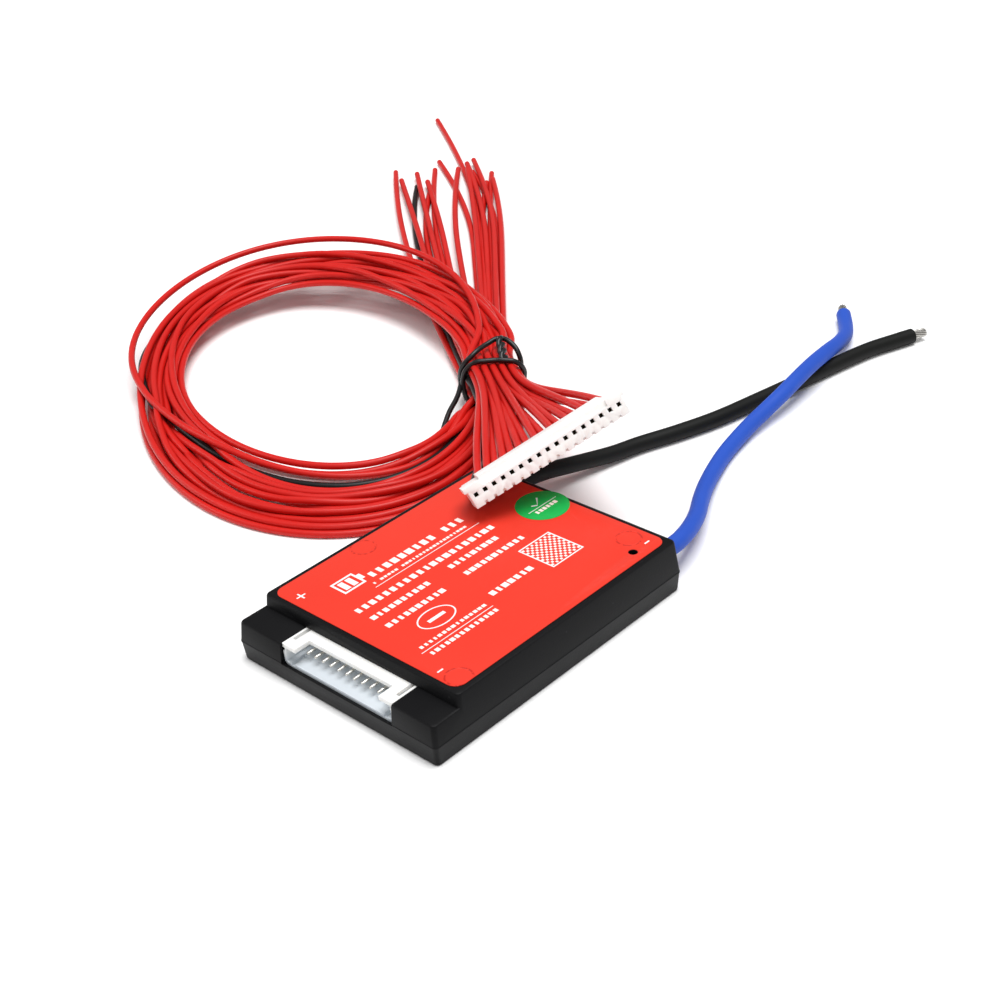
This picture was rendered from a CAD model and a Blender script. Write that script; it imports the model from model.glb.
import math
import random

import bmesh
import bpy
import numpy as np
from mathutils import Euler, Matrix, Vector


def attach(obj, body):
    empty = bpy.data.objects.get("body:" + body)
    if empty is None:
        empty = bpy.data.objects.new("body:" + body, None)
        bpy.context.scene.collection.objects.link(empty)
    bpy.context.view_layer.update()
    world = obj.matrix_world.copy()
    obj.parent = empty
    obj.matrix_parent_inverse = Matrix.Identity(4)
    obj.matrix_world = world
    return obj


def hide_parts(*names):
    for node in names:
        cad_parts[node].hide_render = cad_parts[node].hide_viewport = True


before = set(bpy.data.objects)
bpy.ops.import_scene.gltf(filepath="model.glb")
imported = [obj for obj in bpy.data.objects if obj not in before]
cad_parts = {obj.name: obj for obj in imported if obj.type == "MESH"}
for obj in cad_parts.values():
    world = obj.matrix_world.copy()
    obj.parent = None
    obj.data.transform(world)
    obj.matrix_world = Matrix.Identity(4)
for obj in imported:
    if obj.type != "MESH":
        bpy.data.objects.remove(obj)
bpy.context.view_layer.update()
MM = 0.001

# ---- Camera ----
# A studio camera with a long lens, looking down on the board from its front right and
# leaning a little to one side.
CAMERA_AWAY = 337.4
camera_turn, camera_rise, camera_lean = (math.radians(angle) for angle in (45.36, 30.99, -4.9))
looked_at = Vector((-24.6, 35.9, 0)) * MM
camera_data = bpy.data.cameras.new("camera")
camera_data.lens = 58.81
camera_data.sensor_width = 36
camera_data.clip_start = 5 * MM
camera = bpy.data.objects.new("camera", camera_data)
bpy.context.scene.collection.objects.link(camera)
bpy.context.scene.camera = camera

back_way = Vector((math.sin(camera_turn) * math.cos(camera_rise),
                   -math.cos(camera_turn) * math.cos(camera_rise), math.sin(camera_rise)))
level_right = Vector((math.cos(camera_turn), math.sin(camera_turn), 0))
level_up = back_way.cross(level_right)
right = level_right * math.cos(camera_lean) + level_up * math.sin(camera_lean)
up = level_up * math.cos(camera_lean) - level_right * math.sin(camera_lean)
facing = Matrix((right, up, back_way)).transposed().to_4x4()
camera.matrix_world = Matrix.Translation(looked_at + back_way * CAMERA_AWAY * MM) @ facing

# ---- Sense wires ----
# Seventeen PVC insulated hook-up wires, one black and sixteen red, crimped into a long
# plug. They gather in a tie, go round once in a flat turn, pass back through the tie
# and end cut off. The insulation is extruded, so it is smooth, soft and glossy.
WIRE_D = 1.6
WAYS = 17
PLUG_PITCH, PLUG_DEPTH, IN_PLUG = 2.0, 7, 1.2
plug_at = Vector((-9.4, 14.8, 17.0))
plug_turn = Euler([math.radians(angle) for angle in (-27.5, -21, 64)]).to_matrix()
plug_row = plug_turn @ Vector((1, 0, 0))
plug_back = plug_turn @ Vector((0, 1, 0))

# The turn is an oval, seen from above, that starts and ends in the tie
TURN_A, TURN_B = 55, 38.5
TURN_LEAN, TURN_START = math.radians(152), -114.5
STATIONS = 52
turn_at = np.array((-92.0, 49.0))


def turn_frame(s):
    """The middle of the turn at s from 0 to 1, and the way outwards there, seen from above."""
    angle = math.radians(TURN_START + 360 * s)
    spin = np.array(((math.cos(TURN_LEAN), -math.sin(TURN_LEAN)), (math.sin(TURN_LEAN), math.cos(TURN_LEAN))))
    way = spin @ np.array((-TURN_A * math.sin(angle), TURN_B * math.cos(angle)))
    way /= np.linalg.norm(way)
    middle = turn_at + spin @ np.array((TURN_A * math.cos(angle), TURN_B * math.sin(angle)))
    return middle, np.array((way[1], -way[0]))


# The tie holds the wires in six rows, the upper three from the plug, the lower three to the tails
TIE_L, TIE_TURN = 9, math.radians(145)
BUNDLE_MIDDLE, SLOT_STEP, ROW_STEP, UPPER_Z, LOWER_Z = -1.5, 0.66, 1.5, 8.0, 3.5
tie_at = turn_frame(0)[0]
tie_way = np.array((math.cos(TIE_TURN), math.sin(TIE_TURN)))
tie_side = np.array((tie_way[1], -tie_way[0]))


def by_tie(across, forward, z):
    """A place given across the bundle, along it and up."""
    spot = tie_at + tie_way * forward + tie_side * across
    return np.array((spot[0], spot[1], z))


def tie_slot(slot, middle_z):
    """Sideways place and height of a wire in the tie."""
    return BUNDLE_MIDDLE + (slot - (WAYS - 1) / 2) * SLOT_STEP, middle_z + (slot % 3 - 1) * ROW_STEP


def in_tie(slot, forward, middle_z):
    """A wire's place in the tie, this far along it."""
    across, z = tie_slot(slot, middle_z)
    return by_tie(across, forward, z)


def tail_slot(k):
    """The black wire and the first red one change places on their way round."""
    return {0: 1, 1: 0}.get(k, k)


def bezier(controls, t):
    """The point at t from 0 to 1 of a curve drawn by these controls."""
    while len(controls) > 1:
        controls = [a * (1 - t) + b * t for a, b in zip(controls, controls[1:])]
    return controls[0]


# Between plug and tie the wires fan out: height half way, its rise from wire to wire, and how
# far every other wire lies above and below it. The black one dips under the first red ones.
FAN_Z, FAN_RISE, FAN_ABOVE, FAN_BELOW = 13.4, 0.2, 1.3 * 0.62, 1.3 * -1.02
FAN_OUT, FAN_IN, FAN_STEPS = 5, 13, 10
fan_dips = {0: (4.5, -5.5), 1: (-1.5, 1.5)}


def fan_points(k):
    """From the plug, over the case's edge, into the upper half of the tie."""
    start = np.array(plug_at + plug_row * (k * PLUG_PITCH) + plug_back * PLUG_DEPTH)
    out = np.array(plug_back)
    end = in_tie(k, -TIE_L / 2, UPPER_Z)
    middle = (start + end) / 2
    middle[2] = FAN_Z + FAN_RISE * k + (FAN_ABOVE if k % 2 == 0 else FAN_BELOW)
    across, rise = fan_dips.get(k, (0, 0))
    middle += np.append(tie_side * across, rise)
    controls = [start, start + out * FAN_OUT, middle, end - np.append(tie_way, 0) * FAN_IN, end]
    return [start - out * IN_PLUG] + [bezier(controls, i / FAN_STEPS) for i in range(FAN_STEPS + 1)]


# Each tail, seen from the tie: angle of its bulge, angle and distance of its end, how many
# degrees it leans into one of two bunches, and how far it hooks sideways at its end
tails = ((150.6, 144.0, 143, -0.4, -2), (153.0, 144.8, 156, 0, 0), (149.2, 143.2, 148, 0.1, 3.5),
         (147.8, 142.5, 141, 0.2, -3), (146.4, 141.7, 152, 0.2, 2), (145.0, 141.1, 156, 0.3, -2.5),
         (143.8, 140.3, 144, 0.4, 3), (142.6, 138.9, 206, -6.6, 9), (141.2, 138.2, 152, 0.6, -2),
         (139.4, 137.4, 164, -1.5, 8), (138.2, 136.7, 152, -1.1, 1), (137.0, 136.1, 140, -1.0, -3),
         (136.0, 135.5, 157, -0.9, 4), (135.0, 134.9, 148, -0.8, -2), (134.0, 134.3, 160, -0.7, 5),
         (133.0, 133.6, 152, -0.4, 7), (132.0, 132.9, 141, 0, 2))
TAIL_OUT, BULGE_AWAY, CURL_AWAY = 12, 62, 100
FLOOR_GAP, TAIL_LIFT = 0.05, 1.7
TAIL_STEPS, HOOK_FROM = 18, 12


def from_tie(angle, distance, z):
    """A place at this angle and distance from the tie, seen from above."""
    return np.array((tie_at[0] + math.cos(math.radians(angle)) * distance,
                     tie_at[1] + math.sin(math.radians(angle)) * distance, z))


def tail_points(k):
    """Out of the lower half of the tie, under the turn and along the floor to the cut end."""
    slot = tail_slot(k)
    start = in_tie(slot, TIE_L / 2, LOWER_Z)
    low = WIRE_D / 2 + FLOOR_GAP
    lift = TAIL_LIFT if slot % 2 == 0 else 0
    bulge, tip, reach, lean, hook = tails[k]
    # The lean is strongest at the curl, between bulge and end
    controls = [start, start + np.append(tie_way, 0) * TAIL_OUT,
                from_tie(bulge + lean * 0.7, BULGE_AWAY, low + lift),
                from_tie(bulge * 0.6 + tip * 0.4 + lean, CURL_AWAY, low + lift),
                from_tie(tip + lean * 0.4, reach, low + lift * 0.55)]
    points = [bezier(controls, i / TAIL_STEPS) for i in range(TAIL_STEPS + 1)]
    for i in range(HOOK_FROM + 1, TAIL_STEPS + 1):
        bent = ((i - HOOK_FROM) / (TAIL_STEPS - HOOK_FROM)) ** 2
        points[i] = points[i] - np.append(tie_side, 0) * hook * bent
    return points


# How the wires are piled along the turn: place along it, middle, half width, rows, lowest z.
# The pile is flat over the tails, tall at the far left, and one layer on the floor in front.
piles = ((0.06, -0.9, 4.6, 3, 6.9), (0.13, -1.0, 6.6, 3, 7.9), (0.2, 0.0, 7.2, 3, 8.2),
         (0.29, 1.8, 7.0, 3, 7.6), (0.36, 2.6, 6.6, 3, 5.6), (0.43, 1.5, 4.8, 3, 3.4),
         (0.5, -0.3, 3.2, 4, 1.4), (0.56, -0.3, 4.0, 3, 0.8), (0.63, 0.2, 6.4, 2, 0.8),
         (0.71, 3.6, 6.8, 1, 0.8), (0.79, 5.4, 8.4, 1, 0.8), (0.86, 3.2, 7.6, 2, 0.8),
         (0.93, 0.0, 5.8, 3, 0.8))
# Wires with a route of their own, as place along the turn, outward place and z: the black
# one; two that lie inside at the front; one red that strays outwards over the rest; and the
# outermost one
own_routes = {
    0: ((0.06, -5.2, 6.8), (0.13, -3, 7.4), (0.2, 0, 7.6), (0.29, 3, 7), (0.36, 7, 6), (0.43, 7.2, 5),
        (0.48, 5.6, 3.4), (0.52, 4.4, 2.8), (0.55, 2.4, 4.2), (0.585, -1.2, 3.4), (0.63, -4.6, 1.2),
        (0.68, -6.4, 0.8), (0.79, -6.1, 0.8), (0.93, -6.4, 1.4)),
    1: ((0.06, -6, 8), (0.13, -8, 8), (0.2, -7, 8), (0.29, -5, 7), (0.36, -4.2, 6), (0.43, -3.6, 4.8),
        (0.5, -3.4, 4), (0.56, -4.6, 3), (0.63, -8.6, 2.4), (0.7, -11.6, 2.4), (0.79, -12.8, 2.6),
        (0.86, -10.8, 2.8), (0.93, -8, 3.2)),
    2: ((0.05, -2.4, 11.4), (0.1, 2, 12.2), (0.2, 10, 12.6), (0.29, 13.5, 12.6), (0.33, 14.4, 11.6),
        (0.37, 13.4, 9.6), (0.42, 12.4, 7.4), (0.47, 11.0, 5.6), (0.51, 7.6, 5.6), (0.55, 3.2, 5.8),
        (0.6, -2.0, 5.0), (0.65, -6.2, 3.2), (0.7, -9.0, 1.8), (0.79, -10.6, 1.2), (0.86, -9.2, 1.2),
        (0.93, -7.4, 1.6)),
    3: ((0.06, -4.4, 9), (0.13, -6.6, 9.4), (0.2, -5.4, 9.6), (0.29, -2, 9.4), (0.36, 4, 8), (0.43, 1, 6.6),
        (0.5, -2.6, 5.8), (0.56, -3.2, 4.4), (0.63, -7, 1.2), (0.7, -10.2, 0.8), (0.79, -12.2, 0.8),
        (0.86, -10.4, 0.8), (0.93, -7, 3.4)),
    16: ((0.06, 4.2, 8.6), (0.13, 6.4, 9), (0.2, 8, 9.2), (0.29, 9.8, 8.8), (0.36, 11.4, 7.6),
         (0.43, 5.6, 5.4), (0.5, 2.6, 3.6), (0.56, 4.3, 1.0), (0.63, 7.2, 0.8), (0.71, 11.2, 0.8),
         (0.79, 14.3, 0.8), (0.86, 10.8, 0.8), (0.93, 5.8, 1.6))}
# In the piles the wires change places by chance, less so once they lie on the floor
FLOOR_FROM, WANDER_ABOVE, WANDER_FLOOR = 0.6, 2.6, 1.3
chance = random.Random(11)
routes = {k: list(own_routes.get(k, ())) for k in range(WAYS)}
piled = [k for k in range(WAYS) if k not in own_routes]
for s, middle, half, rows, low in piles:
    wander = WANDER_ABOVE if s < FLOOR_FROM else WANDER_FLOOR
    order = sorted(piled, key=lambda k: k + chance.gauss(0, wander))
    for i, k in enumerate(order):
        across = middle + half * (2 * i / (len(order) - 1) - 1)
        routes[k].append((s, across, low + ROW_STEP * (i % rows)))

# Settle the wires in the turn. At each station a wire keeps to its route, bends smoothly and
# lies on the floor or on its neighbours. Wires that cross between two stations may still cut
# through one another.
ROUNDS, ROUTE_PULL, STIFFNESS, PUSHES, PUSH, SPACING = 400, 0.05, 0.3, 3, 0.7, 1.03
s_at = np.linspace(0, 1, STATIONS + 1)
goal = np.zeros((WAYS, STATIONS + 1, 2))
for k in range(WAYS):
    stops = [(0, *tie_slot(k, UPPER_Z))] + routes[k] + [(1, *tie_slot(tail_slot(k), LOWER_Z))]
    for axis in (0, 1):
        goal[k, :, axis] = np.interp(s_at, [stop[0] for stop in stops], [stop[axis + 1] for stop in stops])
place = goal.copy()
for _ in range(ROUNDS):
    place += (goal - place) * ROUTE_PULL
    place[:, 1:-1] += STIFFNESS * (place[:, :-2] + place[:, 2:] - 2 * place[:, 1:-1])
    for _ in range(PUSHES):
        apart = place[:, None] - place[None]
        gap = np.linalg.norm(apart, axis=3) + 1e-6
        # Each wire of a pair gives way by half of what they overlap
        press = np.clip(WIRE_D * SPACING - gap, 0, None) * 0.5 / gap
        for k in range(WAYS):
            press[k, k] = 0
        place += (apart * press[..., None]).sum(axis=1) * PUSH
        place[..., 1] = np.maximum(place[..., 1], WIRE_D / 2)
    place[:, 0], place[:, -1] = goal[:, 0], goal[:, -1]


def turn_points(k):
    """Round the turn, from just after the tie to just before it."""
    points = []
    for i in range(2, STATIONS - 1):
        middle, outwards = turn_frame(s_at[i])
        spot = middle + outwards * place[k, i, 0]
        points.append(np.array((spot[0], spot[1], place[k, i, 1])))
    return points


def cord_curve(name, points, diameter):
    """A round cord through points in millimetres, as one smooth open spline."""
    data = bpy.data.curves.new(name, "CURVE")
    data.dimensions = "3D"
    data.bevel_depth = diameter / 2 * MM
    data.bevel_resolution = 4
    data.resolution_u = 4
    data.use_fill_caps = True
    spline = data.splines.new("BEZIER")
    spline.bezier_points.add(len(points) - 1)
    points = [Vector(p) * MM for p in points]
    for i, (knot, p) in enumerate(zip(spline.bezier_points, points)):
        before, after = points[max(i - 1, 0)], points[min(i + 1, len(points) - 1)]
        way = (after - before).normalized()
        knot.handle_left_type = knot.handle_right_type = "FREE"
        knot.co = p
        knot.handle_left = p - way * (p - before).length / 3
        knot.handle_right = p + way * (after - p).length / 3
    cord = bpy.data.objects.new(name, data)
    bpy.context.scene.collection.objects.link(cord)
    return cord


def length_of(points):
    """A route's length in metres, to the millimetre."""
    steps = (float(np.linalg.norm(np.array(b) - np.array(a))) for a, b in zip(points, points[1:]))
    return round(sum(steps) * MM, 3)


def linear(code):
    """An sRGB hex colour as the linear colour that a shader takes."""
    parts = [int(code[i:i + 2], 16) / 255 for i in (1, 3, 5)]
    return tuple(c / 12.92 if c <= 0.04045 else ((c + 0.055) / 1.055) ** 2.4 for c in parts) + (1.0,)


def scale_of(size):
    """The scale of a pattern whose patches are this many millimetres across, to two digits."""
    return float(f"{1 / (size * MM):.2g}")


def add(tree, kind, inputs=None, **settings):
    """Adds a node with its settings; an input that is a socket is linked."""
    made = tree.nodes.new(kind)
    for key, value in settings.items():
        setattr(made, key, value)
    for key, value in (inputs or {}).items():
        if isinstance(value, bpy.types.NodeSocket):
            tree.links.new(value, made.inputs[key])
        else:
            made.inputs[key].default_value = value
    return made


def shader_of(material):
    """A material's nodes, and the shader among them."""
    tree = material.node_tree
    return tree, next(node for node in tree.nodes if node.type == "BSDF_PRINCIPLED")


def clouded(name, light, dark, patch, levels, detail=3.0):
    """A material whose colour wanders between two shades, in patches of this many
    millimetres, with these levels in its shader."""
    made = bpy.data.materials.new(name)
    made.use_nodes = True
    tree, shader = shader_of(made)
    spot = add(tree, "ShaderNodeTexCoord").outputs["Object"]
    cloud = add(tree, "ShaderNodeTexNoise", {"Vector": spot, "Scale": scale_of(patch), "Detail": detail})
    shade = add(tree, "ShaderNodeMix",
                {"Factor": cloud.outputs["Fac"], "A": linear(light), "B": linear(dark)}, data_type="RGBA")
    tree.links.new(shade.outputs["Result"], shader.inputs["Base Color"])
    for level, value in levels.items():
        shader.inputs[level].default_value = value
    return made


def roughen(material, grain, detail, strength, depth):
    """Gives a surface a relief of this grain and depth, in millimetres."""
    tree, shader = shader_of(material)
    spot = add(tree, "ShaderNodeTexCoord").outputs["Object"]
    height = add(tree, "ShaderNodeTexNoise", {"Vector": spot, "Scale": scale_of(grain), "Detail": detail})
    bump = add(tree, "ShaderNodeBump",
               {"Strength": strength, "Distance": depth * MM, "Height": height.outputs["Fac"]})
    tree.links.new(bump.outputs["Normal"], shader.inputs["Normal"])


def pvc(name, light, dark):
    """Extruded soft PVC: even colour with faint clouds, a waxy gloss and slight waviness."""
    made = clouded(name, light, dark, 8.33, {
        "Roughness": 0.4, "IOR": 1.52, "Specular IOR Level": 0.28, "Subsurface Weight": 0.08,
        "Subsurface Radius": (1.0, 0.2, 0.1), "Subsurface Scale": 0.6 * MM})
    roughen(made, 1.43, 2.0, 0.12, 0.1)
    return made


red_pvc = pvc("extruded_pvc_red", "#D01C15", "#C01610")
black_pvc = pvc("extruded_pvc_black", "#0B0B0C", "#101011")
for k in range(WAYS):
    route = fan_points(k) + [in_tie(k, TIE_L / 2, UPPER_Z)] + turn_points(k)
    route += [in_tie(tail_slot(k), -TIE_L / 2, LOWER_Z)] + tail_points(k)
    wire = cord_curve(f"wire_{k + 1:02d}", route, WIRE_D)
    wire.data.materials.append(black_pvc if k == 0 else red_pvc)
    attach(wire, "root")
    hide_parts(f"sense_wire_{k + 1:02d}", "harness_coil")
    length_of(route)

# ---- Power leads ----
# Two stranded copper leads in soft silicone rubber, black for the pack and blue for
# the battery. Each comes out of its hole in the case's back wall and lies on the table.
LEAD_D = 3.5
pack_route = ((-19, 25, 6.2), (-19, 30, 6.2), (-19, 34, 6.2), (-18.9, 38, 6.0), (-18.4, 44, 5.2),
              (-17.6, 50, 4.0), (-16.6, 56, 2.9), (-15.3, 62, 2.1), (-13.8, 68.3, 1.8), (-10.4, 77, 1.8),
              (-7.2, 87, 1.8), (-4.8, 99, 1.8), (-2.6, 111, 1.8), (-0.6, 123, 1.8), (1.6, 134, 1.8),
              (4.4, 142, 1.8), (5.9, 146, 1.8))
battery_route = ((20.5, 25, 6.2), (20.5, 30, 6.2), (20.5, 34, 6.2), (20.2, 38, 6.0), (18.6, 43.5, 5.4),
                 (15.8, 49.5, 4.4), (12.2, 55.5, 3.4), (8.9, 61.5, 2.5), (5.6, 69, 1.9), (3.0, 77, 1.8),
                 (1.2, 87, 2.4), (0.9, 94, 3.4), (1.0, 100, 4.7), (0.3, 107, 5.5), (-0.9, 115, 5.6),
                 (-2.2, 123, 5.0), (-3.8, 130, 3.8), (-6.2, 136.4, 2.6), (-9.6, 142, 1.8),
                 (-13.5, 147.2, 1.8))


def silicone(name, light, dark):
    """Silicone rubber insulation: even colour, a dull satin skin and a fine powdery grain."""
    made = clouded(name, light, dark, 11.1, {"Roughness": 0.55, "IOR": 1.43, "Specular IOR Level": 0.25}, 4.0)
    roughen(made, 0.333, 3.0, 0.2, 0.05)
    return made


# Tinned copper, drawn and twisted: a fairly bright metal grey, mottled along the strands
tinned_strand = clouded("tinned_copper_strand", "#D8D6D2", "#A9A6A0", 0.667,
                        {"Metallic": 1.0, "Roughness": 0.32})


def node_tree(name, sizes):
    """An empty geometry tree with named number inputs and a material input."""
    tree = bpy.data.node_groups.new(name, "GeometryNodeTree")
    for label, kind in sizes.items():
        tree.interface.new_socket(name=label, in_out="INPUT", socket_type="NodeSocket" + kind)
    tree.interface.new_socket(name="Material", in_out="INPUT", socket_type="NodeSocketMaterial")
    tree.interface.new_socket(name="Geometry", in_out="OUTPUT", socket_type="NodeSocketGeometry")
    return tree, tree.nodes.new("NodeGroupInput").outputs


def close_tree(tree, geometry, sizes):
    """Ends a tree: real geometry instead of copies, and its material."""
    real = add(tree, "GeometryNodeRealizeInstances", {"Geometry": geometry})
    painted = add(tree, "GeometryNodeSetMaterial",
                  {"Geometry": real.outputs["Geometry"], "Material": sizes["Material"]})
    add(tree, "NodeGroupOutput", {"Geometry": painted.outputs["Geometry"]})


def grown(tree, values):
    """The plain mesh that a tree gives for these values."""
    seed = bpy.data.objects.new(tree.name, bpy.data.meshes.new(tree.name))
    bpy.context.scene.collection.objects.link(seed)
    growth = seed.modifiers.new("growth", "NODES")
    growth.node_group = tree
    for item in tree.interface.items_tree:
        if item.item_type == "SOCKET" and item.in_out == "INPUT":
            growth[item.identifier] = values[item.name]
    mesh = bpy.data.meshes.new_from_object(seed.evaluated_get(bpy.context.evaluated_depsgraph_get()))
    bpy.data.objects.remove(seed)
    return mesh


def joined(name, pieces):
    """One object from placed copies of meshes, given as mesh and matrix."""
    whole = bmesh.new()
    for mesh, spot in pieces:
        moved = mesh.copy()
        moved.transform(spot)
        whole.from_mesh(moved)
        bpy.data.meshes.remove(moved)
    data = bpy.data.meshes.new(name)
    whole.to_mesh(data)
    whole.free()
    for material in pieces[0][0].materials:
        data.materials.append(material)
    piece = bpy.data.objects.new(name, data)
    bpy.context.scene.collection.objects.link(piece)
    return piece


# A bundle of nineteen strands: one in the middle, six round it and twelve outside, all twisted
STRAND_L, STRAND_R, STRAND_TWIST, STRAND_IN = 5.1, 0.22, 1.5, 1.5
strand_tree, sizes = node_tree("twisted_strands",
                               {"Length": "Float", "Strand radius": "Float", "Twist": "Float"})
radius, length = sizes["Strand radius"], sizes["Length"]
double = add(strand_tree, "ShaderNodeMath", {0: radius, 1: 2.0}, operation="MULTIPLY").outputs["Value"]
fourfold = add(strand_tree, "ShaderNodeMath", {0: radius, 1: 4.0}, operation="MULTIPLY").outputs["Value"]
spots = add(strand_tree, "GeometryNodeJoinGeometry")
inmost = add(strand_tree, "GeometryNodeMeshLine", {"Count": 1})
strand_tree.links.new(inmost.outputs["Mesh"], spots.inputs["Geometry"])
for count, ring_radius in ((6, double), (12, fourfold)):
    ring = add(strand_tree, "GeometryNodeMeshCircle", {"Vertices": count, "Radius": ring_radius})
    strand_tree.links.new(ring.outputs["Mesh"], spots.inputs["Geometry"])
tip = add(strand_tree, "ShaderNodeCombineXYZ", {"Z": length})
straight = add(strand_tree, "GeometryNodeCurvePrimitiveLine", {"End": tip.outputs["Vector"]})
stepped = add(strand_tree, "GeometryNodeResampleCurve", {"Curve": straight.outputs["Curve"], "Count": 9})
copies = add(strand_tree, "GeometryNodeInstanceOnPoints",
             {"Points": spots.outputs["Geometry"], "Instance": stepped.outputs["Curve"]})
lines = add(strand_tree, "GeometryNodeRealizeInstances", {"Geometry": copies.outputs["Instances"]})
where = add(strand_tree, "GeometryNodeInputPosition").outputs["Position"]
height = add(strand_tree, "ShaderNodeSeparateXYZ", {"Vector": where}).outputs["Z"]
share = add(strand_tree, "ShaderNodeMath", {0: height, 1: length}, operation="DIVIDE").outputs["Value"]
turned_by = add(strand_tree, "ShaderNodeMath", {0: share, 1: sizes["Twist"]}, operation="MULTIPLY")
twisted = add(strand_tree, "ShaderNodeVectorRotate",
              {"Vector": where, "Angle": turned_by.outputs["Value"]}, rotation_type="Z_AXIS")
laid = add(strand_tree, "GeometryNodeSetPosition",
           {"Geometry": lines.outputs["Geometry"], "Position": twisted.outputs["Vector"]})
section = add(strand_tree, "GeometryNodeCurvePrimitiveCircle", {"Resolution": 8, "Radius": radius})
wires = add(strand_tree, "GeometryNodeCurveToMesh",
            {"Curve": laid.outputs["Geometry"], "Profile Curve": section.outputs["Curve"], "Fill Caps": True})
smooth = add(strand_tree, "GeometryNodeSetShadeSmooth", {"Geometry": wires.outputs["Mesh"]})
close_tree(strand_tree, smooth.outputs["Geometry"], sizes)
strands = grown(strand_tree, {"Length": STRAND_L * MM, "Strand radius": STRAND_R * MM, "Twist": STRAND_TWIST,
                              "Material": tinned_strand})
# At each lead's end the strands start a little inside the insulation
tips = []
for route in (pack_route, battery_route):
    way = (Vector(route[-1]) - Vector(route[-2])).normalized()
    spot = Matrix.Translation((Vector(route[-1]) - way * STRAND_IN) * MM)
    tips.append((strands, spot @ way.to_track_quat("Z", "Y").to_matrix().to_4x4()))
lead_tips = joined("lead_tips", tips)
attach(lead_tips, "root")
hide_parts("lead_ends")
for name, route, node, colour, light, dark in (
        ("pack_cable", pack_route, "pack_lead", "black", "#0D0E0D", "#131413"),
        ("battery_cable", battery_route, "battery_lead", "blue", "#2C56BE", "#274EB3")):
    lead = cord_curve(name, route, LEAD_D)
    lead.data.bevel_resolution = 10
    lead.data.resolution_u = 8
    lead.data.materials.append(silicone(f"silicone_rubber_{colour}", light, dark))
    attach(lead, "root")
    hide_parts(node)
    length_of(route)

# ---- Wire tie ----
# A steel-cored tie in black plastic, wound twice round the bundle. Its two turns stand
# apart on top, where they are twisted together, and one free end hangs beside them.
TIE_R = 0.6

# Its plastic is extruded: black and half glossy, with dust in it a millimetre across
tie_plastic = clouded("extruded_tie_black", "#08090A", "#0F1011", 1.11, {"Roughness": 0.38})


def tube_mesh(name, paths, radius):
    """One mesh of round tubes along paths in millimetres."""
    data = bpy.data.curves.new(name + "_line", "CURVE")
    data.dimensions = "3D"
    data.bevel_depth = radius * MM
    data.bevel_resolution = 3
    data.resolution_u = 6
    data.use_fill_caps = True
    for points in paths:
        spline = data.splines.new("BEZIER")
        spline.bezier_points.add(len(points) - 1)
        for knot, p in zip(spline.bezier_points, points):
            knot.co = Vector(p) * MM
            knot.handle_left_type = knot.handle_right_type = "AUTO"
    line = bpy.data.objects.new(name + "_line", data)
    bpy.context.scene.collection.objects.link(line)
    mesh = bpy.data.meshes.new_from_object(line.evaluated_get(bpy.context.evaluated_depsgraph_get()))
    mesh.name = name
    bpy.data.objects.remove(line)
    bpy.data.curves.remove(data)
    piece = bpy.data.objects.new(name, mesh)
    bpy.context.scene.collection.objects.link(piece)
    mesh.shade_smooth()
    return piece


# Across the bundle, along it, and up: the far turn, which arches over the top, the near one,
# and the free end
far_turn = ((-8.4, 3, 5), (-8.0, 2.2, 8), (-5.8, 1.6, 10.8), (-0.9, 4.8, 12), (2, 5.6, 12.4),
            (4.2, 3.4, 11.8), (5.4, 1, 9.6), (5.6, 0.8, 6), (5.4, 0.6, 3), (4.6, 0.5, 1.3),
            (3, 0.4, 0.66), (0.6, 0.2, 0.62), (-2.4, 0.4, 0.62), (-5, 1, 0.66), (-7.2, 1.6, 1.3),
            (-8.2, 2.2, 2.8))
near_turn = ((-8.0, -1.6, 1.8), (-8.35, -0.6, 3.8), (-8.2, 0, 6.4), (-7.2, -0.4, 9), (-5.2, -1.2, 10.7),
             (-3, -1.8, 10.95), (-0.9, -2.2, 10.95), (1.2, -3, 10.95), (3.6, -3.6, 10.4), (5.3, -3.4, 8.2),
             (5.4, -2.6, 5), (5.3, -2.1, 2.8), (4.5, -1.9, 1.3), (3, -1.8, 0.66), (0.6, -1.8, 0.62),
             (-2.4, -1.8, 0.62), (-5, -1.8, 0.66), (-7, -1.7, 1))
free_end = ((-8.3, 2.6, 4.6), (-9.2, -0.6, 4.6), (-10.6, -3.9, 4), (-13.3, -8.3, 3), (-15, -11.6, 2),
            (-16.4, -14.8, 1.2))
# Where the turns are twisted together, both wind round a line that falls towards the plug
KNOT_R, KNOT_TURN, KNOT_STEPS = 0.5, 75, 9
knot_at, knot_step = (1.9, 5.6, 12.5), (-0.1, -1.08, -0.17)


def knot_point(start, i):
    """A point of the winding that starts at this angle."""
    angle = math.radians(start + KNOT_TURN * i)
    across, forward, z = (at + step * i for at, step in zip(knot_at, knot_step))
    return by_tie(across + KNOT_R * math.cos(angle), forward, z + KNOT_R * math.sin(angle))


tie_paths = [[by_tie(*spot) for spot in way + way[:1]] for way in (far_turn, near_turn)]
tie_paths += [[knot_point(start, i) for i in range(KNOT_STEPS)] for start in (0, 180)]
tie_paths.append([by_tie(*spot) for spot in free_end])
tie = tube_mesh("wire_tie", tie_paths, TIE_R)
tie.data.materials.append(tie_plastic)
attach(tie, "root")
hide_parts("harness_tie")

# ---- Case ----
# Two black ABS shells, injection moulded in a spark-eroded tool. The cover steps down
# over the socket, and a thin line of flash runs round where the shells meet.

# Corners this near, in millimetres, are one; and, in degrees, the angle below which faces are
# flat, the one from which an edge is bevelled, and the one from which it stays sharp
MERGE_WITHIN, FLAT_WITHIN, BEVEL_FROM, SHARP_FROM = 0.002, 1, 24, 50


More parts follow.
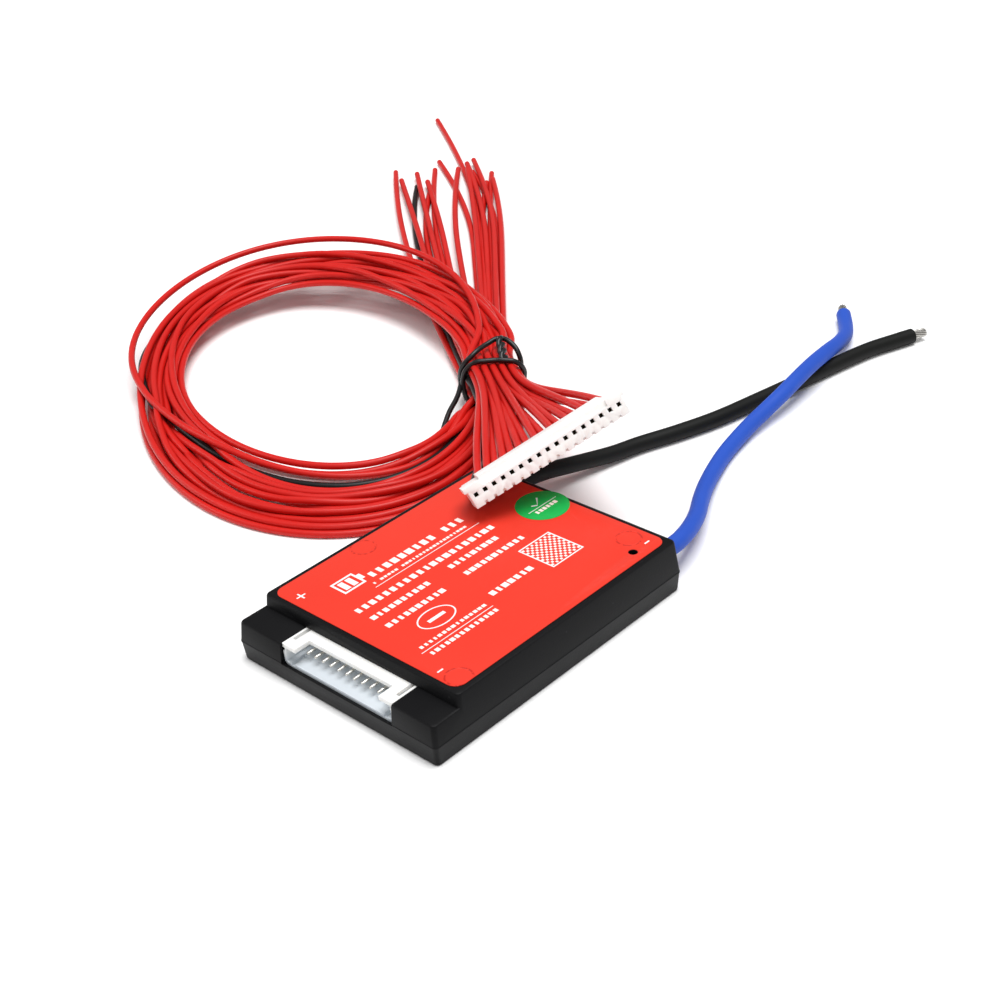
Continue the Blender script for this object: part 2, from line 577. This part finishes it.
def finished_copy(name, node, material, width, segments=2):
    """A copy of a solid with its edges rounded by a small bevel, as moulding leaves them."""
    mesh = bmesh.new()
    mesh.from_mesh(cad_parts[node].data)
    bmesh.ops.remove_doubles(mesh, verts=mesh.verts, dist=MERGE_WITHIN * MM)
    bmesh.ops.dissolve_limit(mesh, angle_limit=math.radians(FLAT_WITHIN), verts=mesh.verts, edges=mesh.edges)
    data = bpy.data.meshes.new(name + "_plain")
    mesh.to_mesh(data)
    mesh.free()
    data.materials.clear()
    plain = bpy.data.objects.new(name + "_plain", data)
    bpy.context.scene.collection.objects.link(plain)
    bevel = plain.modifiers.new("edges", "BEVEL")
    bevel.width = width * MM
    bevel.segments = segments
    bevel.limit_method = "ANGLE"
    bevel.angle_limit = math.radians(BEVEL_FROM)
    bevel.use_clamp_overlap = True
    bevel.miter_outer = "MITER_ARC"
    done = bpy.data.meshes.new_from_object(plain.evaluated_get(bpy.context.evaluated_depsgraph_get()))
    bpy.data.objects.remove(plain)
    bpy.data.meshes.remove(data)
    done.name = name
    done.shade_smooth()
    done.set_sharp_from_angle(angle=math.radians(SHARP_FROM))
    done.materials.append(material)
    piece = bpy.data.objects.new(name, done)
    bpy.context.scene.collection.objects.link(piece)
    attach(piece, "root")
    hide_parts(node)


# Spark-eroded ABS: near black with a faint grey bloom, pale specks of dust and scuffs about
# 6 mm long. The true grit is about 0.05 mm, drawn at 0.25 mm so that it shows.
moulded_abs = bpy.data.materials.new("moulded_abs_black")
moulded_abs.use_nodes = True
tree, shader = shader_of(moulded_abs)
spot = add(tree, "ShaderNodeTexCoord").outputs["Object"]
bloom = add(tree, "ShaderNodeTexNoise",
            {"Vector": spot, "Scale": scale_of(16.7), "Detail": 5.0, "Roughness": 0.6}).outputs["Fac"]
body = add(tree, "ShaderNodeMix", {"Factor": bloom, "A": linear("#0A0A0B"), "B": linear("#111113")},
           data_type="RGBA").outputs["Result"]
speck = add(tree, "ShaderNodeTexVoronoi", {"Vector": spot, "Scale": scale_of(2.38), "Randomness": 1.0})
speck_on = add(tree, "ShaderNodeMapRange", {"Value": speck.outputs["Distance"], "From Min": 0.05,
                                            "From Max": 0.09, "To Min": 0.3, "To Max": 0.0})
dusted = add(tree, "ShaderNodeMix", {"Factor": speck_on.outputs["Result"], "A": body, "B": linear("#3A3B3D")},
             data_type="RGBA")
tree.links.new(dusted.outputs["Result"], shader.inputs["Base Color"])
satin = add(tree, "ShaderNodeMapRange", {"Value": bloom, "To Min": 0.34, "To Max": 0.52})
tree.links.new(satin.outputs["Result"], shader.inputs["Roughness"])
grit = add(tree, "ShaderNodeTexNoise", {"Vector": spot, "Scale": scale_of(0.25), "Detail": 2.0})
along = add(tree, "ShaderNodeMapping", {"Vector": spot, "Scale": (1, 12, 12), "Rotation": (0, 0, 0.5)})
scuff = add(tree, "ShaderNodeTexNoise",
            {"Vector": along.outputs["Vector"], "Scale": scale_of(6.25), "Detail": 4.0})
relief = add(tree, "ShaderNodeMath", {0: grit.outputs["Fac"], 1: scuff.outputs["Fac"]}, operation="ADD")
bump = add(tree, "ShaderNodeBump",
           {"Strength": 0.35, "Distance": 0.04 * MM, "Height": relief.outputs["Value"]})
tree.links.new(bump.outputs["Normal"], shader.inputs["Normal"])
shader.inputs["IOR"].default_value = 1.54
shader.inputs["Specular IOR Level"].default_value = 0.1
finished_copy("case_tray", "lower_tray", moulded_abs, 0.14, 3)
finished_copy("case_cover", "upper_cover", moulded_abs, 0.14, 3)

# ---- Label ----
# A red vinyl film, screen printed in white and pressed down over moulding marks in the
# cover. Its print is rows of plain bars, a framed chequer, an oval round a bar, a generic
# battery sign and the terminals' plus and minus signs.
LABEL_TOP, INK_T, INK_ABOVE = 10.95, 0.02, 0.015
RING_R, RING_W = 2.4, 0.3
# Printed vinyl: an even warm red with a soft sheen, bruised in three faint dotted rings by
# what it was pressed down on. Its own grain is 0.7 mm, drawn coarser than the real film's.
vinyl = clouded("printed_vinyl_red", "#E03D2D", "#DA3628", 22.2,
                {"Roughness": 0.32, "IOR": 1.5, "Specular IOR Level": 0.15})
tree, shader = shader_of(vinyl)
plain_red = shader.inputs["Base Color"].links[0].from_socket
spot = add(tree, "ShaderNodeTexCoord").outputs["Object"]
parts = add(tree, "ShaderNodeSeparateXYZ", {"Vector": spot})
flat_spot = add(tree, "ShaderNodeCombineXYZ", {"X": parts.outputs["X"], "Y": parts.outputs["Y"]})
rings = None
for ring_x, ring_y in ((21.1, -22.2), (17.1, 27.1), (-20.9, -4.6)):
    away = add(tree, "ShaderNodeVectorMath",
               {0: flat_spot.outputs["Vector"], 1: (ring_x * MM, ring_y * MM, 0)}, operation="DISTANCE")
    off = add(tree, "ShaderNodeMath", {0: away.outputs["Value"], 1: RING_R * MM}, operation="SUBTRACT")
    near = add(tree, "ShaderNodeMath", {0: off.outputs["Value"]}, operation="ABSOLUTE")
    ridge = add(tree, "ShaderNodeMapRange", {"Value": near.outputs["Value"], "From Min": 0.0,
                                             "From Max": RING_W * MM, "To Min": 1.0, "To Max": 0.0})
    if rings is None:
        rings = ridge.outputs["Result"]
    else:
        both = add(tree, "ShaderNodeMath", {0: rings, 1: ridge.outputs["Result"]}, operation="ADD")
        rings = both.outputs["Value"]
grain = add(tree, "ShaderNodeTexNoise",
            {"Vector": spot, "Scale": scale_of(0.667), "Detail": 2.0}).outputs["Fac"]
faint = add(tree, "ShaderNodeMath", {0: grain, 1: 0.12}, operation="MULTIPLY")
dashes = add(tree, "ShaderNodeMapRange", {"Value": grain, "From Min": 0.46, "From Max": 0.54,
                                          "To Min": 0.0, "To Max": 0.8})
bruise = add(tree, "ShaderNodeMath", {0: rings, 1: dashes.outputs["Result"]}, operation="MULTIPLY")
marked = add(tree, "ShaderNodeMix",
             {"Factor": bruise.outputs["Value"], "A": plain_red, "B": linear("#A61E18")}, data_type="RGBA")
tree.links.new(marked.outputs["Result"], shader.inputs["Base Color"])
relief = add(tree, "ShaderNodeMath", {0: rings, 1: faint.outputs["Value"]}, operation="ADD")
bump = add(tree, "ShaderNodeBump", {"Strength": 0.3, "Distance": 0.1 * MM, "Height": relief.outputs["Value"]})
tree.links.new(bump.outputs["Normal"], shader.inputs["Normal"])
finished_copy("label_film", "label", vinyl, 0.04)

# Screen printed white ink: matt, and a little pink where the red shows through its 0.7 mm grain
white_ink = clouded("screen_print_white", "#FFF4F0", "#F6D9D2", 0.714, {"Roughness": 0.5})

# A printed row: plain bars of uneven length, some left out, along +Y
SHORTEST, LONGEST = 0.42, 0.86
row_tree, sizes = node_tree("printed_row", {"Length": "Float", "Width": "Float", "Pitch": "Float",
                                            "Left out": "Float", "Ink": "Float", "Seed": "Int"})
pitch, seed = sizes["Pitch"], sizes["Seed"]
share = add(row_tree, "ShaderNodeMath", {0: sizes["Length"], 1: pitch}, operation="DIVIDE").outputs["Value"]
count = add(row_tree, "ShaderNodeMath", {0: share}, operation="FLOOR").outputs["Value"]
onward = add(row_tree, "ShaderNodeCombineXYZ", {"Y": pitch}).outputs["Vector"]
places = add(row_tree, "GeometryNodeMeshLine", {"Count": count, "Offset": onward})
empty = add(row_tree, "FunctionNodeRandomValue", {"Probability": sizes["Left out"], "Seed": seed},
            data_type="BOOLEAN")
kept = add(row_tree, "GeometryNodeDeleteGeometry",
           {"Geometry": places.outputs["Mesh"], "Selection": empty.outputs[3]}, domain="POINT")
stretch = add(row_tree, "FunctionNodeRandomValue",
              {"Min": (1, SHORTEST, 1), "Max": (1, LONGEST, 1), "Seed": seed}, data_type="FLOAT_VECTOR")
bar_size = add(row_tree, "ShaderNodeCombineXYZ", {"X": sizes["Width"], "Y": pitch, "Z": sizes["Ink"]})
block = add(row_tree, "GeometryNodeMeshCube", {"Size": bar_size.outputs["Vector"]})
bars = add(row_tree, "GeometryNodeInstanceOnPoints",
           {"Points": kept.outputs["Geometry"], "Instance": block.outputs["Mesh"],
            "Scale": stretch.outputs[0]})
close_tree(row_tree, bars.outputs["Instances"], sizes)

# A printed chequer: square dots on every other place of a square grid
DOT_SHARE = 0.86
chequer_tree, sizes = node_tree("printed_chequer", {"Cells": "Int", "Pitch": "Float", "Ink": "Float"})
cells, pitch = sizes["Cells"], sizes["Pitch"]
less = add(chequer_tree, "ShaderNodeMath", {0: cells, 1: 1.0}, operation="SUBTRACT").outputs["Value"]
side = add(chequer_tree, "ShaderNodeMath", {0: less, 1: pitch}, operation="MULTIPLY").outputs["Value"]
grid = add(chequer_tree, "GeometryNodeMeshGrid",
           {"Size X": side, "Size Y": side, "Vertices X": cells, "Vertices Y": cells})
number = add(chequer_tree, "GeometryNodeInputIndex").outputs["Index"]
odd = add(chequer_tree, "ShaderNodeMath", {0: number, 1: 2.0}, operation="MODULO").outputs["Value"]
kept = add(chequer_tree, "GeometryNodeDeleteGeometry", {"Geometry": grid.outputs["Mesh"], "Selection": odd},
           domain="POINT")
dot = add(chequer_tree, "ShaderNodeMath", {0: pitch, 1: DOT_SHARE}, operation="MULTIPLY").outputs["Value"]
dot_size = add(chequer_tree, "ShaderNodeCombineXYZ", {"X": dot, "Y": dot, "Z": sizes["Ink"]})
block = add(chequer_tree, "GeometryNodeMeshCube", {"Size": dot_size.outputs["Vector"]})
dots = add(chequer_tree, "GeometryNodeInstanceOnPoints",
           {"Points": kept.outputs["Geometry"], "Instance": block.outputs["Mesh"]})
close_tree(chequer_tree, dots.outputs["Instances"], sizes)


def printed_row(x, y0, y1, wide, pitch, left_out, seed, top):
    """A row of bars from y0 to y1, as its mesh and its place. All sizes are in millimetres."""
    row = grown(row_tree, {"Length": (y1 - y0) * MM, "Width": wide * MM, "Pitch": pitch * MM,
                           "Left out": left_out, "Ink": INK_T * MM, "Seed": seed, "Material": white_ink})
    return row, Matrix.Translation(Vector((x, y0 + pitch / 2, top - INK_T / 2)) * MM)


# Each row's x, where it starts and ends in y, its width and its pitch
label_rows = ((-12.9, -10.8, 15.0, 1.7, 1.9), (-10.4, -12.0, 12.6, 0.6, 0.9), (-6.3, -20.2, 17.0, 1.45, 1.7),
              (-2.6, -19.8, -4.2, 1.25, 1.45), (-3.0, 0.0, 13.2, 1.25, 1.45), (1.2, -19.8, -5.2, 1.25, 1.45),
              (0.8, 0.2, 17.2, 1.25, 1.45), (9.0, -1.8, 10.8, 1.35, 1.6), (10.4, -20.8, -3.8, 0.75, 1.1),
              (13.0, -20.8, -3.6, 0.95, 1.2))
LEFT_OUT = 0.08
label_ink = LABEL_TOP + INK_ABOVE
prints = [printed_row(*row, LEFT_OUT, seed, label_ink) for seed, row in enumerate(label_rows, start=1)]
chequer = grown(chequer_tree, {"Cells": 13, "Pitch": 0.6 * MM, "Ink": INK_T * MM, "Material": white_ink})
prints.append((chequer, Matrix.Translation(Vector((7.9, 15.8, label_ink - INK_T / 2)) * MM)))


def patches(name, outlines, top):
    """A mesh of flat inked patches with these outlines, in millimetres, none over another."""
    whole = bmesh.new()
    for outline in outlines:
        low = [whole.verts.new((x * MM, y * MM, (top - INK_T) * MM)) for x, y in outline]
        high = [whole.verts.new((x * MM, y * MM, top * MM)) for x, y in outline]
        whole.faces.new(high)
        whole.faces.new(list(reversed(low)))
        for i in range(len(outline)):
            j = (i + 1) % len(outline)
            whole.faces.new((low[i], low[j], high[j], high[i]))
    bmesh.ops.recalc_face_normals(whole, faces=whole.faces)
    mesh = bpy.data.meshes.new(name)
    whole.to_mesh(mesh)
    whole.free()
    return mesh


def bar(x0, y0, x1, y1):
    """An upright oblong between two corners."""
    return ((x0, y0), (x1, y0), (x1, y1), (x0, y1))


def frame_bars(x0, y0, x1, y1, t):
    """Four bars of this thickness that frame an oblong and don't overlap."""
    return [bar(x0, y0, x0 + t, y1), bar(x1 - t, y0, x1, y1),
            bar(x0 + t, y0, x1 - t, y0 + t), bar(x0 + t, y1 - t, x1 - t, y1)]


def shifted(outline, x, y):
    """An outline moved by x and y."""
    return [(x + a, y + b) for a, b in outline]


# Two rules, then a battery with its cap and two cells, then the chequer's frame
signs = [bar(-9.28, -12.4, -9.12, 14.6), bar(11.62, -21.5, 11.78, -3.9)]
signs += frame_bars(-16.3, -17.2, -12.0, -12.0, 0.45)
signs += [bar(-15.05, -12.0, -13.25, -11.2), bar(-15.5, -16.2, -12.8, -15.0), bar(-15.5, -14.4, -12.8, -13.2)]
signs += frame_bars(3.5, 11.6, 12.3, 20.0, 0.3)
# The terminals' two minus signs, the bar inside the oval, and the plus sign
signs += [bar(17.33, -23.6, 17.67, -22.3), bar(20.43, 27.4, 20.77, 28.7), bar(5.7, -14.3, 6.5, -10.3)]
plus = ((-1, -0.16), (-0.16, -0.16), (-0.16, -1), (0.16, -1), (0.16, -0.16), (1, -0.16),
        (1, 0.16), (0.16, 0.16), (0.16, 1), (-0.16, 1), (-0.16, 0.16), (-1, 0.16))
signs.append(shifted(plus, -18.1, -22.5))
# The oval, as a ring of short patches between an outer and an inner outline
OVAL_STEPS = 48
oval = []
for half_x, half_y in ((2.7, 4.1), (2.42, 3.82)):
    angles = [math.tau * i / OVAL_STEPS for i in range(OVAL_STEPS)]
    oval.append(shifted([(half_x * math.cos(a), half_y * math.sin(a)) for a in angles], 6.1, -12.3))
outer, inner = oval
for i in range(OVAL_STEPS):
    j = (i + 1) % OVAL_STEPS
    signs.append((outer[i], outer[j], inner[j], inner[i]))
prints.append((patches("label_signs", signs, label_ink), Matrix.Identity(4)))
label_print = joined("label_print", prints)
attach(label_print, "root")

# ---- Inspection sticker ----
# A round green paper sticker, printed in white: a rule across the disc, with a plain tick
# on one side of it and a row of bars on the other.
STICKER_TOP = 11.05
# Printed paper: a clear green with a soft, hardly fibrous surface, its fibres 2 mm long
sticker_paper = clouded("printed_paper_green", "#12AE4E", "#0FA448", 2,
                        {"Roughness": 0.5, "Specular IOR Level": 0.2}, 4.0)
finished_copy("sticker_disc", "inspection_sticker", sticker_paper, 0.03)
sticker_ink = STICKER_TOP + INK_ABOVE
tick = (((-1.55, -1.5), (-1.25, -1.75), (-0.55, -0.75), (-0.85, -0.5)),
        ((-0.85, -0.5), (-0.55, -0.75), (-2.55, 1.5), (-2.85, 1.25)))
marks = [shifted(outline, -3.6, 26.4) for outline in (bar(-0.08, -3.9, 0.08, 3.9), *tick)]
sticker_print = joined("sticker_print", [printed_row(-2.5, 23.3, 29.5, 0.95, 1.0, 0.0, 12, sticker_ink),
                                         (patches("sticker_signs", marks, sticker_ink), Matrix.Identity(4))])
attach(sticker_print, "root")

# ---- Sense socket ----
# A white nylon side-entry header with a row of square pins, soldered to the board and
# showing in the low front ledge of the case.

# Moulded nylon: a warm white with a faint haze and flow marks, dull and a little see-through
nylon = clouded("moulded_nylon_white", "#F4F3F1", "#ECEBE8", 5, {
    "Roughness": 0.4, "Subsurface Weight": 0.15, "Subsurface Radius": (1.0, 0.9, 0.8),
    "Subsurface Scale": 0.8 * MM})
roughen(nylon, 0.556, 2.0, 0.1, 0.05)
# Tin plate: a bright, slightly yellow metal with a brushed mottle of 0.7 mm
tin_plate = clouded("tin_plated_pin", "#E4E2DC", "#C9C5BC", 0.667, {"Metallic": 1.0, "Roughness": 0.25}, 2.0)
# The header's nylon is greyer low down, where its mouth is in its own shade
SHADE_Z, LIT_Z = 4.6, 7.6
header_nylon = nylon.copy()
header_nylon.name = "moulded_nylon_header"
tree, shader = shader_of(header_nylon)
spot = add(tree, "ShaderNodeTexCoord").outputs["Object"]
height = add(tree, "ShaderNodeSeparateXYZ", {"Vector": spot}).outputs["Z"]
above = add(tree, "ShaderNodeMapRange", {"Value": height, "From Min": SHADE_Z * MM, "From Max": LIT_Z * MM})
white = shader.inputs["Base Color"].links[0].from_socket
shaded = add(tree, "ShaderNodeMix", {"Factor": above.outputs["Result"], "A": linear("#C6CDD3"), "B": white},
             data_type="RGBA")
tree.links.new(shaded.outputs["Result"], shader.inputs["Base Color"])
finished_copy("socket_body", "socket_housing", header_nylon, 0.12)
finished_copy("socket_pin_row", "socket_pins", tin_plate, 0.1, 1)

# ---- Sense plug ----
# A white nylon crimp housing with seventeen ways, in the same nylon as the socket. Bronze
# contacts are crimped to the wires and sit deep in its channels.
finished_copy("plug_body", "plug_housing", nylon, 0.1)

# ---- Board and its chips ----
# A glass-epoxy board under green solder mask, closed in the case with its chips. It, its
# parts and the plug's contacts are the solids themselves, given their finish here.

# Two shades, the size of their mottle in millimetres, how rough a finish is, and 1 for metal
finishes = {}
for node, name, light, dark, patch, roughness, metallic in (
        ("circuit_board", "solder_mask_green", "#14532D", "#1B6B3A", 3.33, 0.35, 0.0),
        ("monitor_chip", "epoxy_moulding_black", "#17181A", "#232427", 0.667, 0.55, 0.0),
        ("monitor_chip_legs", "tinned_lead_frame", "#D2D2D0", "#B6B6B4", 0.833, 0.3, 1.0),
        ("balance_resistors", "fired_resistor_film", "#1D1D1F", "#2E2E31", 1.11, 0.4, 0.0),
        ("shunt_resistors", "alloy_strip", "#6E6C68", "#55534F", 1.43, 0.35, 1.0),
        ("solder_joints", "solder_bright", "#C9CACC", "#A5A6A9", 1.67, 0.25, 1.0),
        ("plug_contacts", "stamped_bronze", "#3B3122", "#2A2419", 1.11, 0.45, 1.0)):
    finishes[node] = clouded(name, light, dark, patch, {"Roughness": roughness, "Metallic": metallic})
for i in range(1, 7):
    finishes[f"mosfet_{i}"] = finishes["monitor_chip"]
for node, finish in finishes.items():
    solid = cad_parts[node]
    solid.data.materials.clear()
    solid.data.materials.append(finish)

# ---- Table and light ----
# A pale seamless table under one large soft lamp, with two weaker ones at the front and
# on the left, and an even white surrounding.
TABLE_HALF = 3000 * MM
corners = [(x * TABLE_HALF, y * TABLE_HALF, 0) for x, y in ((-1, -1), (1, -1), (1, 1), (-1, 1))]
table_mesh = bpy.data.meshes.new("table")
table_mesh.from_pydata(corners, [], [(0, 1, 2, 3)])
table = bpy.data.objects.new("table", table_mesh)
bpy.context.scene.collection.objects.link(table)
# Background paper: matt and white, all but even
table_mesh.materials.append(clouded("seamless_paper_white", "#FFFFFF", "#FCFCFC", 33.3, {"Roughness": 0.8}))


def soft_lamp(name, spot, aim, size, power):
    """A square lamp at this spot, turned towards its aim, in metres and watts."""
    data = bpy.data.lights.new(name, "AREA")
    data.shape = "RECTANGLE"
    data.size = data.size_y = size
    data.energy = power
    lamp = bpy.data.objects.new(name, data)
    bpy.context.scene.collection.objects.link(lamp)
    lamp.location = spot
    lamp.rotation_euler = (Vector(aim) - Vector(spot)).to_track_quat("-Z", "Y").to_euler()


soft_lamp("key", (0.15, 0.12, 1.35), (-0.03, 0.04, 0), 0.9, 20.5)
soft_lamp("front_fill", (0.7, -0.8, 0.8), (0, 0, 0), 0.7, 2.2)
soft_lamp("left_fill", (-0.9, -0.4, 0.6), (0, 0, 0), 0.5, 2.3)
world = bpy.data.worlds.new("studio")
bpy.context.scene.world = world
world.use_nodes = True
background = world.node_tree.nodes["Background"]
background.inputs["Color"].default_value = (1, 1, 1, 1)
background.inputs["Strength"].default_value = 0.3
bpy.context.scene.view_settings.view_transform = "Standard"

bpy.context.view_layer.update()
